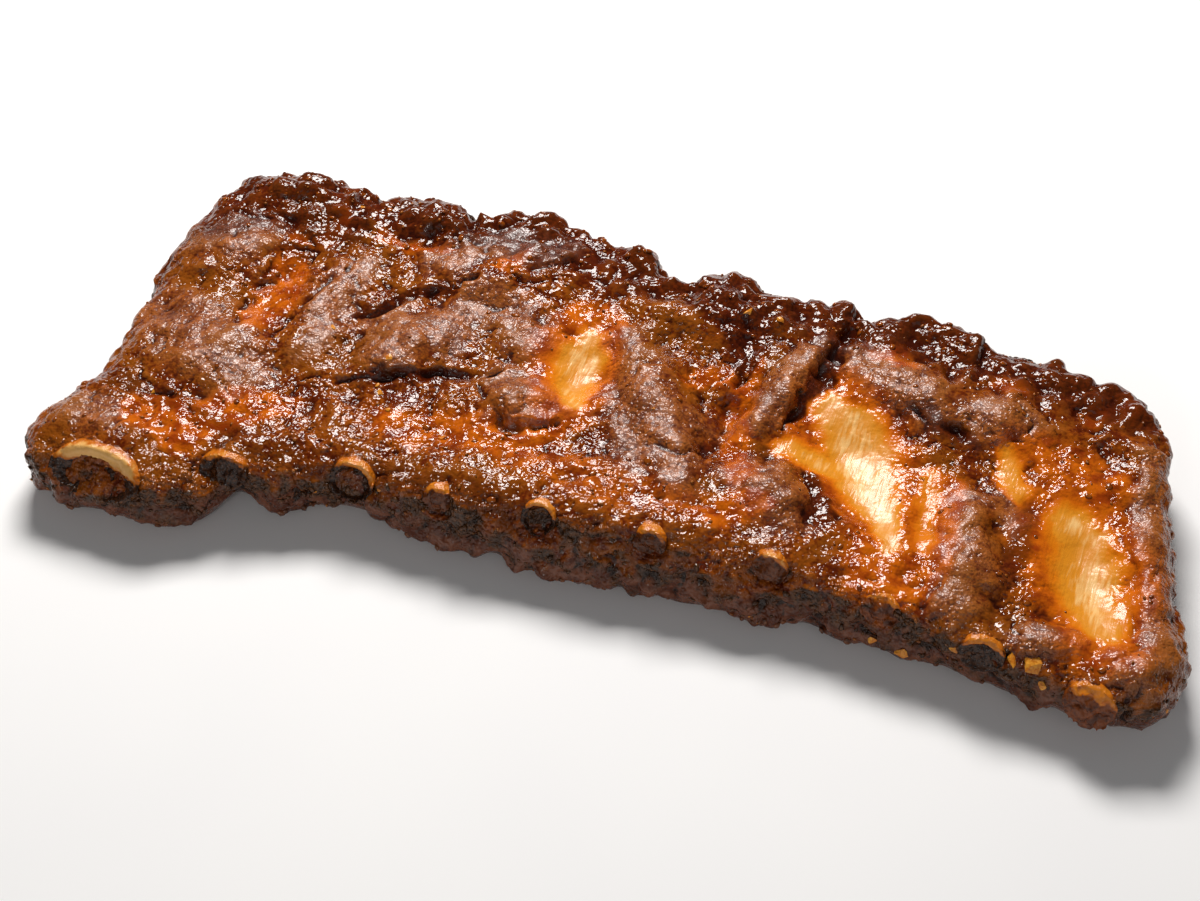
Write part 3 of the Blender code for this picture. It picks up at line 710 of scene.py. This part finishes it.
@dataclass
class Rib:
    """One rib bone, with its cut end at the front and its rounded end at the rear."""

    node: str
    look: RibLook
    voxel: float = 0.75
    fine_length: float = 7.0
    rim: float = 0.66  # share of the end's half size at which the hard wall gives way to marrow
    marrow_depth: float = 2.2
    pit_size: float = 1.3
    pit_depth: float = 0.55

    def build(self, noise: Noise, finish: bpy.types.Material) -> bpy.types.Object:
        """Makes the dressed rib.

        Args:
            noise: the unevenness.
            finish: its material.

        Returns:
            The finished piece.
        """
        obj = copy_of(self.node, self.node + "_bone")
        ends = {way: end_of(obj, way) for way in Way}
        finish_modifier(obj, "REMESH", mode="VOXEL", voxel_size=self.voxel * MM)
        largest_body(obj)
        y = read(obj.data.polygons, "center", 3)[:, 1] / MM
        near = (y < y.min() + self.fine_length) | (y > y.max() - 0.5 * self.fine_length)
        subdivide_where(obj, near)
        surface = Surface(obj)
        surface.relax(9)
        bare, hollow = np.zeros(len(surface.points)), np.zeros(len(surface.points))
        for way, end in ends.items():
            self.shape_end(surface, end, noise, bare, hollow, way)
        surface.keep("bare", bare)
        surface.keep("hollow", hollow)
        surface.keep("pale", np.full(len(bare), self.look.pale))
        surface.write()
        obj.data.materials.append(finish)
        obj.data.shade_smooth()
        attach(obj, "root")
        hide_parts(self.node)
        return obj

    def shape_end(self, surface: Surface, end: BoneEnd, noise: Noise, bare: Array, hollow: Array, way: Way) -> None:
        """Roughens one end, sinks its marrow and notes where the bone is bare."""
        look = self.look if way is Way.FRONT else RibLook(0.3, 0.40)
        across, up, out = end.parts(surface.points)
        radius = np.hypot(across, up)
        on_end = ramp(out, -3.2, -1.6) * ramp(radius, 1.25, 1.05)
        places = surface.points
        marrow = on_end * ramp(np.hypot(across, up + 0.15), self.rim + 0.20, self.rim - 0.16)
        gap, wall = noise.cells(places / self.pit_size)
        sink = marrow * (self.marrow_depth + self.pit_depth * (1 - 2 * gap)) * (1 - look.sealed)
        chips = on_end * self.look.chipped * (noise.layers(places / 1.9) - 0.3)
        dome = 2.4 * ramp(radius, 1.05, 0.1) - 0.8 + 1.3 * noise.layers(places / 5.0 + 9, 2)
        chips += look.sealed * on_end * dome
        skin = 0.22 * noise.layers(places / 3.2) * ramp(out, -9.0, -4.0)
        normals = surface.normals()
        surface.points = places + end.out * (chips - sink)[:, None] + normals * (skin * (1 - on_end))[:, None]
        turn = math.radians(look.turn)
        side = across * math.cos(turn) - up * math.sin(turn)
        rise = up * math.cos(turn) + across * math.sin(turn)
        tall = 1 - (look.upper + look.lower) / 2
        inner = np.hypot(side, (rise + (look.upper - look.lower) / 2) / tall)
        frayed = (0.16 + 0.25 * look.sealed) * noise.smooth(places / 2.2) + 0.10 * noise.smooth(places / 0.9)
        shown = ramp(inner + frayed, 0.86, 1.16) * (look.foot + (1 - look.foot) * ramp(rise, -0.1, 0.55))
        glow = 0.62 * ramp(out, -6.0, -1.0) * ramp(rise, 0.1, 0.6) * (0.7 + 0.6 * noise.smooth(places / 3))
        np.maximum(bare, on_end * shown * ramp(radius + 0.6 * frayed, 1.06, 0.80), out=bare)
        np.maximum(bare, np.clip(glow, 0, 0.6) * (1 - marrow), out=bare)
        np.maximum(hollow, on_end * (1 - shown) * (1 - look.sealed), out=hollow)


# ---------------------------------------------------------------- the meat
@dataclass
class MeatSlab:
    """The slab of meat with its crust, as one closed skin that also covers the buried ribs."""

    voxel: float = 2.0
    buried: float = 1.6  # the skin leaves this much of each cut end free
    rear_free: float = 1.4
    swell: float = 1.0  # the buried ribs are this much thicker, to join the meat

    def blank(self) -> bpy.types.Object:
        """One closed skin round the meat and the buried parts of the ribs."""
        obj = copy_of("meat", "meat_skin")
        cores = [self.core(name) for name in RIB_LOOKS]
        only(obj)
        for core in cores:
            core.select_set(True)
        bpy.ops.object.join()
        finish_modifier(obj, "REMESH", mode="VOXEL", voxel_size=self.voxel * MM)
        largest_body(obj)
        return obj

    def core(self, node: str) -> bpy.types.Object:
        """The buried part of a rib, a little thicker than the rib."""
        obj = copy_of(node, node + "_core")
        front, rear = end_of(obj, Way.FRONT), end_of(obj, Way.REAR)
        finish_modifier(obj, "DISPLACE", strength=self.swell * MM, mid_level=0.0)
        for end, free in ((front, self.buried), (rear, self.rear_free)):
            only(obj)
            bpy.ops.object.mode_set(mode="EDIT")
            bpy.ops.mesh.select_all(action="SELECT")
            place = (end.middle - end.out * free) * MM
            bpy.ops.mesh.bisect(plane_co=place, plane_no=end.out, use_fill=True, clear_outer=True)
            bpy.ops.object.mode_set(mode="OBJECT")
        return obj

    def build(self, noise: Noise, finish: bpy.types.Material) -> bpy.types.Object:
        """Makes the dressed slab.

        Args:
            noise: the unevenness.
            finish: its material.

        Returns:
            The finished piece.
        """
        obj = self.blank()
        normals = read(obj.data.polygons, "normal", 3)
        heights = read(obj.data.polygons, "center", 3)[:, 2] / MM
        subdivide_where(obj, (normals[:, 2] > -0.35) | (heights > 9.0))
        surface = Surface(obj)
        surface.relax(8)
        self.sculpt(surface, noise)
        self.paint(surface, noise)
        surface.write()
        self.surface = surface
        obj.data.materials.append(finish)
        obj.data.shade_smooth()
        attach(obj, "root")
        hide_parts("meat")
        return obj

    def read_faces(self, surface: Surface) -> None:
        """Works out how much each point belongs to the bone side, the walls and the meat side."""
        n = surface.normals()
        smooth = [surface.blurred(n[:, k], 6) for k in range(3)]
        self.top = ramp(smooth[2], 0.35, 0.75)
        self.belly = ramp(-smooth[2], 0.30, 0.75)
        self.wall = np.clip(1 - self.top - self.belly, 0.0, 1.0)
        self.front = self.wall * ramp(-smooth[1], 0.1, 0.6)
        self.outward = np.stack(smooth, axis=1)

    def warped(self, points: Array, noise: Noise) -> tuple[Array, Array]:
        """Places of the plan, shaken, so that no feature has a drawn edge."""
        shifts = []
        for seed in (3.1, 41.4):
            wave = 2.6 * noise.smooth(points / 16 + seed) + 1.7 * noise.smooth(points / 6 + 2 * seed)
            shifts.append(wave + 0.8 * noise.smooth(points / 2.8 + 3 * seed))
        return points[:, 0] + shifts[0], points[:, 1] + shifts[1]

    def sculpt(self, surface: Surface, noise: Noise) -> None:
        """Shapes the pads, cracks, knobs and crust."""
        self.read_faces(surface)
        start = surface.points.copy()
        x, y = self.warped(start, noise)
        self.gold = cover(GOLD, x, y, 0.80) * self.top
        self.amber = cover(AMBER, x, y, 0.75) * self.top
        self.dark = cover(DARK, x, y, 0.5)
        self.rear = ramp(start[:, 1] + 5 * noise.smooth(start / 18), 42, 60)
        ragged = 0.50 * noise.smooth(start / 9 + 8) + 0.30 * noise.smooth(start / 4 + 2)
        rise = sum(pad.strength * ramp(pad.reach(x, y) + ragged, 1.50, 0.40) for pad in PADS) * 0.52
        pads = np.clip(1.3 * rise, 0, 1)
        self.pads = pads * self.top
        crack = np.zeros(len(x))
        broken = ramp(noise.smooth(start / 6.5 + 5), -0.45, 0.30)
        for crease in CREASES:
            reach = crease.reach(x, y) / (0.72 + 0.45 * noise.smooth(start / 4 + 6))
            crack = np.maximum(crack, 0.70 * crease.strength * bell(reach) * broken)
            rise += 0.12 * crease.strength * bell((reach - 2.2) / 0.9)
        ten = end_of(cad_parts["rib_10"], Way.FRONT)
        beside = np.abs(x - ten.middle[0] - ten.half_width - 2.6) / 1.9
        crack = np.maximum(crack, 3.6 * bell(beside) * ramp(y, -36.0, -44.0))
        for size, depth in ((11.0, 1.1), (6.0, 0.6)):
            line = np.abs(noise.smooth(np.stack((x, y, start[:, 2]), 1) / size + 50 + size))
            split = ramp(noise.smooth(start / size + 71), 0.0, 0.45) * (1 - self.gold)
            crack = np.maximum(crack, depth * bell(line / 0.07 * size / 11) * split)
        self.crack = crack * np.maximum(self.top, self.front)
        calm = (1 - 0.9 * self.gold) * (1 - 0.65 * pads) * (1 - 0.45 * np.clip(self.amber, 0, 1))
        lumps = 1.35 * noise.layers(start / 14, 2) * (1 - 0.8 * self.gold) * (1 - 0.15 * pads)
        lumps += 0.75 * noise.layers(start / 6.5 + 11, 2) * (1 - 0.8 * self.gold) * (1 - 0.30 * pads)
        billow = 0.55 - np.abs(noise.smooth(start / 3.4 + 13)) - 0.5 * np.abs(noise.smooth(start / 1.9 + 19))
        wrinkle = 0.14 * noise.ridges(start / (2.6, 6.0, 2.6) + 4, 1) * pads
        blobs, _ = noise.cells(start / (5.5, 7.0, 6.0))
        boulders, _ = noise.cells(start / (10.0, 9.0, 9.0) + 7)
        self.lip = lip = self.top * ramp(self.outward[:, 2], 0.97, 0.80) * ramp(-self.outward[:, 1], 0.05, 0.35)
        beads, _ = noise.cells(start / 2.9 + 3)
        wet = np.clip(self.rear + 0.5 * self.dark * self.top, 0, 1)
        high = ramp(start[:, 2] + 3 * noise.smooth(start / 9), 5, 11)
        self.wet = wet
        knobs = (4.2 * (0.55 - boulders) + 1.8 * (0.55 - blobs) + 0.5 * (0.5 - beads)) * wet + 1.0 * (0.5 - beads) * lip + (2.4 * (0.55 - blobs) + 0.7 * (0.5 - beads) * high) * self.wall * (1 - wet)
        height = rise * self.top - self.crack + lumps + wrinkle + knobs - 0.42 * billow * calm
        wall = 1.1 * noise.layers(start / (8, 8, 12), 2) + 0.35 * noise.ridges(start / (3.2, 3.2, 6.0), 1) * high
        height += self.wall * wall
        surface.points = start + self.outward * height[:, None]
        self.rag_foot(surface, noise)
        surface.points[:, 2] = np.maximum(surface.points[:, 2], 0.0)

    def rag_foot(self, surface: Surface, noise: Noise) -> None:
        """Makes the lower edge of the walls ragged."""
        p = surface.points
        low = self.wall * ramp(p[:, 2], 12.0, 4.0)
        flat = p * (1, 1, 0)
        out = 1.6 * noise.layers(flat / 9, 2) + 0.8 * noise.ridges(flat / 4.2, 1)
        p[:, :2] += self.outward[:, :2] * (low * out)[:, None]
        p[:, 2] += low * (1.2 * noise.layers(flat / 8 + 3, 2) - 0.2)

    def paint(self, surface: Surface, noise: Noise) -> None:
        """Notes where each finish shows."""
        fine = surface.relief(5)
        broad = surface.relief(40)
        p = surface.points
        rim = ramp(p[:, 2], 10.0, 19.0)
        self.read_faces(surface)
        ends = sum(bell(np.linalg.norm(p - end_of(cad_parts[n], Way.FRONT).middle, axis=1) / 7) for n in RIB_LOOKS)
        surface.keep("gold", self.gold)
        surface.keep("amber", self.amber)
        surface.keep("pads", self.pads)
        surface.keep("wet", self.wet)
        surface.keep("lip", self.lip)
        # dark mask: the dark strokes and the rear's dark glaze, plus painted shade in the cracks
        surface.keep("dark", np.clip(np.maximum(self.dark * self.top, 0.72 * self.rear) + 0.25 * self.crack, 0, 1))
        patches = noise.layers(p / (8, 8, 5) + 23, 3)
        upper = ramp(p[:, 2] + 9.0 * patches, 5.0, 14.0) * (0.62 + 0.8 * noise.smooth(p / (4, 5, 9) + 61))
        surface.keep("char", np.clip(0.9 * self.front * upper + 0.5 * ends * self.wall + 0.3 * self.wall * rim, 0, 1))
        surface.keep("lean", np.clip(self.wall * (1 - 0.7 * rim) + 0.7 * self.belly, 0, 1))
        surface.keep("fine", fine)
        surface.keep("broad", broad)


# ---------------------------------------------------------------- small things on the glaze
@dataclass(frozen=True)
class Morsel:
    """Finish of the small things: two colours in patches, and a gloss."""

    name: str
    light: Colour
    deep: Colour
    rough: float
    grain: float = 0.6  # millimetres

    def material(self) -> bpy.types.Material:
        """Builds the node tree."""
        g = Graph(self.name)
        patches, fine = g.noise(2.4, 2.0), g.noise(self.grain, 1.0)
        base = g.blend((patches * 0.6 + fine * 0.4).step(0.38, 0.62), self.deep, self.light)
        return g.surface(Base_Color=base, Roughness=self.rough + (fine - 0.5) * 0.2,
                         Normal=g.bump(fine, 0.12), Specular_IOR_Level=0.38)


FAT = Morsel("fat", (0.780, 0.330, 0.030), (0.560, 0.160, 0.008), 0.30)
SPICE = Morsel("spice", (0.380, 0.120, 0.014), (0.170, 0.042, 0.005), 0.28)
CHAR = Morsel("char", (0.120, 0.045, 0.014), (0.040, 0.014, 0.005), 0.25)
GLAZE = Morsel("glaze", (0.290, 0.068, 0.004), (0.140, 0.024, 0.002), 0.09, 1.5)
SHRED = Morsel("shred", (0.190, 0.066, 0.026), (0.070, 0.022, 0.009), 0.22, 1.0)


@dataclass(frozen=True)
class Scatter:
    """Small things of one kind that lie on the slab, joined in one piece. Sizes are in millimetres."""

    name: str
    finish: Morsel
    count: int
    least: float
    most: float
    flat: float = 0.7  # height against width
    long: float = 1.4  # length against width
    sunk: float = 0.35  # how much of the height lies in the glaze
    uneven: float = 0.30
    rounds: int = 1  # fineness of the ball that each starts from
    angular: bool = False

    def build(self, ground: Surface, weight: Array, noise: Noise, seed: int,
              spots: tuple[tuple[Place, float], ...] = ()) -> bpy.types.Object:
        """Makes the piece.

        Args:
            ground: the slab's surface.
            weight: how likely each of its points is to carry one.
            noise: the unevenness.
            seed: for the choice of places.
            spots: more of them at places of their own, each with its size.

        Returns:
            The finished piece.
        """
        rng = np.random.default_rng(seed)
        normals = ground.normals()
        chosen = list(rng.choice(len(weight), self.count, replace=False, p=weight / weight.sum()))
        sizes = list(self.least + (self.most - self.least) * rng.random(self.count) ** 2)
        for place, size in spots:
            chosen.append(int(np.linalg.norm(ground.points - place, axis=1).argmin()))
            sizes.append(size)
        bpy.ops.object.select_all(action="DESELECT")
        bpy.ops.mesh.primitive_ico_sphere_add(subdivisions=self.rounds, radius=1.0)
        obj = bpy.context.active_object
        obj.name = self.name
        ball = read(obj.data.vertices, "co", 3).astype(float)
        faces = read(obj.data.loops, "vertex_index", 1, np.int32).reshape(-1, 3)
        points = []
        for index, size in zip(chosen, sizes):
            up = normals[index]
            along = np.cross(up, rng.normal(size=3))
            along /= np.linalg.norm(along)
            across = np.cross(up, along)
            lump = ball * (1 + self.uneven * noise.smooth(ball * 1.1 + 13.7 * index)[:, None])
            lump = lump * (0.5 * size * self.long * rng.uniform(0.75, 1.2), 0.5 * size, 0.5 * size * self.flat)
            middle = ground.points[index] + up * size * self.flat * (0.5 - self.sunk)
            points.append(middle + lump @ np.stack((along, across, up)))
        mesh = bpy.data.meshes.new(self.name)
        steps = np.repeat(np.arange(len(chosen)) * len(ball), len(faces))[:, None]
        every = np.tile(faces, (len(chosen), 1)) + steps
        places = np.concatenate(points)
        places[:, 2] = np.maximum(places[:, 2], 0.0)
        mesh.from_pydata((places * MM).tolist(), [], every.tolist())
        obj.data = mesh
        mesh.materials.append(self.finish.material())
        if not self.angular:
            mesh.shade_smooth()
        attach(obj, "root")
        return obj


def dress(slab: MeatSlab, ground: Surface, noise: Noise) -> list[bpy.types.Object]:
    """Scatters the small things over the slab.

    Args:
        slab: its masks.
        ground: its surface.
        noise: the unevenness.

    Returns:
        The finished pieces.
    """
    p = ground.points
    patchy = ramp(noise.smooth(p / 14 + 90), -0.2, 0.5)
    lip = ramp(p[:, 1] + 4 * noise.smooth(p / 10), -30, -44)
    free = slab.top * np.clip(1 - 1.6 * slab.gold, 0, 1) * (1 - 0.6 * slab.pads)
    nine = end_of(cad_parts["rib_09"], Way.FRONT).middle
    flecks = [(tuple(nine + gap), size) for gap, size in (
        ((-8.5, 0.0, -1.5), 3.0), ((8.0, 0.0, 1.0), 2.6), ((13.5, 0.0, 1.5), 5.0), ((19.0, 0.0, -4.0), 3.2),
        ((-22.0, 0.0, -9.0), 2.8), ((-32.0, 0.0, -9.0), 2.4))]
    flecks += [((20.4, 55.0, 30.0), 2.4), ((31.0, 55.0, 30.0), 2.0), ((-79.0, -3.0, 30.0), 2.2),
               ((-76.0, -14.0, 30.0), 1.8), ((-80.0, -12.0, 30.0), 1.4), ((-74.0, -19.0, 30.0), 1.4)]
    return [
        Scatter("fat_flecks", FAT, 16, 0.8, 1.8, 0.40, 1.4, 0.40, 0.90, 1, True).build(
            ground, free * patchy + 0.5 * slab.front + 0.01, noise, 5, tuple(flecks)),
        Scatter("spice_grains", SPICE, 700, 0.4, 1.2).build(
            ground, free * (0.15 + patchy + 1.5 * lip + slab.rear) + 0.3 * slab.wall, noise, 6),
        Scatter("char_crumbs", CHAR, 420, 0.6, 2.0, 0.5, 1.7, 0.45, 0.45).build(
            ground, slab.front * ramp(p[:, 2], 6, 14) + 0.04 * slab.rear * slab.wall, noise, 7),
        Scatter("glaze_beads", GLAZE, 520, 0.7, 2.4, 0.45, 1.3, 0.45, 0.15, 2).build(
            ground, free * (0.2 + patchy + lip) + 1.2 * slab.rear, noise, 8),
        Scatter("shreds", SHRED, 60, 1.0, 2.6, 0.8, 1.3, 0.60, 0.50, 2).build(
            ground, slab.front * ramp(p[:, 2], 8, 2) + 0.4 * slab.wall * ramp(p[:, 2], 8, 2), noise, 9),
    ]


# ---------------------------------------------------------------- the studio
@dataclass(frozen=True)
class SoftLight:
    """A rectangular light that looks at the rack."""

    name: str
    azimuth: float  # degrees round from the front, towards +X
    elevation: float
    distance: float  # metres
    width: float
    height: float
    brightness: float  # radiance
    tint: Colour = (1.0, 1.0, 1.0)

    def build(self, target: Vector) -> None:
        """Adds the light."""
        lamp = bpy.data.lights.new(self.name, "AREA")
        lamp.shape = "RECTANGLE"
        lamp.size, lamp.size_y = self.width, self.height
        lamp.energy = self.brightness * math.pi * self.width * self.height
        lamp.color = self.tint
        obj = bpy.data.objects.new(self.name, lamp)
        bpy.context.scene.collection.objects.link(obj)
        away = direction(self.azimuth, self.elevation)
        obj.location = target + away * self.distance
        obj.rotation_euler = away.to_track_quat("Z", "Y").to_euler()


def direction(azimuth: float, elevation: float) -> Vector:
    """Unit vector towards a place so many degrees round from the front and above the floor."""
    a, e = math.radians(azimuth), math.radians(elevation)
    return Vector((math.sin(a) * math.cos(e), -math.cos(a) * math.cos(e), math.sin(e)))


@dataclass(frozen=True)
class Studio:
    """Camera, soft lights and a pale floor."""

    azimuth: float = 21.0
    elevation: float = 48.0
    distance: float = 0.62
    lens: float = 60.0
    target: Place = (-0.0082, -0.0026, 0.013)
    floor_size: float = 8.0
    sky: float = 0.07

    LIGHTS = (
        SoftLight("key", 205.0, 50.0, 0.95, 0.40, 0.30, 33.0, (1.0, 0.97, 0.94)),
        SoftLight("fill", 20.0, 32.0, 1.5, 2.2, 1.4, 0.48),
        SoftLight("kicker", 2.0, 34.0, 1.2, 0.14, 0.10, 18.0),
    )

    def build(self) -> None:
        """Sets up the studio."""
        scene = bpy.context.scene
        scene.view_settings.view_transform = "Standard"
        target = Vector(self.target)
        lens = bpy.data.cameras.new("camera")
        lens.lens, lens.sensor_width, lens.clip_start = self.lens, 36.0, 0.01
        camera = bpy.data.objects.new("camera", lens)
        scene.collection.objects.link(camera)
        away = direction(self.azimuth, self.elevation)
        camera.location = target + away * self.distance
        camera.rotation_euler = away.to_track_quat("Z", "Y").to_euler()
        scene.camera = camera
        world = bpy.data.worlds.new("sky")
        world.use_nodes = True
        world.node_tree.nodes["Background"].inputs["Color"].default_value = (1.0, 1.0, 1.0, 1.0)
        world.node_tree.nodes["Background"].inputs["Strength"].default_value = self.sky
        scene.world = world
        for light in self.LIGHTS:
            light.build(target)
        bpy.ops.object.select_all(action="DESELECT")
        bpy.ops.mesh.primitive_plane_add(size=self.floor_size, location=(0.0, 0.0, -0.0003))
        floor = bpy.context.active_object
        floor.name = "floor"
        floor.data.materials.append(StudioFloor().material())


def report(obj: bpy.types.Object) -> None:
    """Logs a finished piece."""
    LOG.info("%s: %d faces", obj.name, len(obj.data.polygons))


def main() -> None:
    """Builds the rack and the studio."""
    logging.basicConfig(level=logging.INFO, format="%(name)s %(message)s")
    noise = Noise(41)
    slab = MeatSlab()
    report(slab.build(noise, GlazedMeat().material()))
    for piece in dress(slab, slab.surface, noise):
        report(piece)
    bone = RibBone().material()
    for node, look in RIB_LOOKS.items():
        report(Rib(node, look).build(noise, bone))
    Studio().build()


if __name__ == "__main__":
    main()
